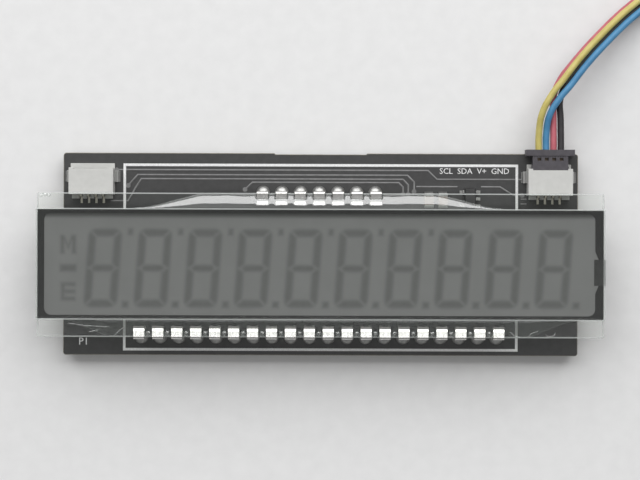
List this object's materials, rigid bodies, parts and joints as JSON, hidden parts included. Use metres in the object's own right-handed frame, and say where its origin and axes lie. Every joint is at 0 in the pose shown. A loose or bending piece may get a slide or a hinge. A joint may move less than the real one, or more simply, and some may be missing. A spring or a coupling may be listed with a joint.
{
  "type": "segment lcd display",
  "caption": "Reflective seven-segment glass display on clip pins above a black circuit board, with side-entry sockets and a plugged-in jumper lead.",
  "frame": {"origin": "under the middle of the board, in the plane of the cut contact-pin tips that it stands on", "axes": "+X along the digits, +Y towards the board edge with the sockets, +Z towards the viewer"},
  "size_m": [0.0929, 0.0505, 0.0083],
  "materials": {
    "board_mask": "satin black solder mask",
    "legend_ink": "white printed ink",
    "polarizer_film": "satin film",
    "glass": "clear ground-edge plate",
    "cell_seal": "dark adhesive",
    "crystal": "grey reflective field",
    "segment": "slightly darker than the field",
    "reflector": "grey foil",
    "pin_metal": "tinned strip",
    "resin": "clear cured resin",
    "solder": "bright solder",
    "socket_plastic": "off-white moulding",
    "contact_metal": "tinned contact",
    "chip_plastic": "moulded black package",
    "lead_metal": "tinned lead",
    "capacitor_ceramic": "fired ceramic",
    "plug_plastic": "black moulding",
    "yellow_insulation": "soft insulation",
    "blue_insulation": "soft insulation",
    "red_insulation": "soft insulation",
    "black_insulation": "soft insulation"
  },
  "bodies": {
    "root": {"circuit_board": "board_mask", "legend_outline": "legend_ink", "front_polarizer": "polarizer_film", "front_glass": "glass", "rear_glass": "glass", "perimeter_seal": "cell_seal", "fill_port_plug": "cell_seal", "liquid_crystal": "crystal", "segment_electrodes": "segment", "rear_reflector": "reflector", "lower_pin_01": "pin_metal", "lower_pin_02": "pin_metal", "lower_pin_03": "pin_metal", "lower_pin_04": "pin_metal", "lower_pin_05": "pin_metal", "lower_pin_06": "pin_metal", "lower_pin_07": "pin_metal", "lower_pin_08": "pin_metal", "lower_pin_09": "pin_metal", "lower_pin_10": "pin_metal", "lower_pin_11": "pin_metal", "lower_pin_12": "pin_metal", "lower_pin_13": "pin_metal", "lower_pin_14": "pin_metal", "lower_pin_15": "pin_metal", "lower_pin_16": "pin_metal", "lower_pin_17": "pin_metal", "lower_pin_18": "pin_metal", "lower_pin_19": "pin_metal", "lower_pin_20": "pin_metal", "upper_pin_01": "pin_metal", "upper_pin_02": "pin_metal", "upper_pin_03": "pin_metal", "upper_pin_04": "pin_metal", "upper_pin_05": "pin_metal", "upper_pin_06": "pin_metal", "upper_pin_07": "pin_metal", "lower_resin_bead": "resin", "upper_resin_bead": "resin", "solder_joints": "solder", "left_socket_housing": "socket_plastic", "right_socket_housing": "socket_plastic", "left_socket_contacts": "contact_metal", "right_socket_contacts": "contact_metal", "socket_tabs": "contact_metal", "plug_contacts": "contact_metal", "driver_chip": "chip_plastic", "regulator": "chip_plastic", "chip_resistors": "chip_plastic", "driver_chip_leads": "lead_metal", "regulator_leads": "lead_metal", "chip_end_caps": "lead_metal", "chip_capacitors": "capacitor_ceramic", "plug_housing": "plug_plastic", "free_plug_housing": "plug_plastic", "wire_yellow": "yellow_insulation", "wire_blue": "blue_insulation", "wire_red": "red_insulation", "wire_black": "black_insulation"}
  },
  "joints": []
}
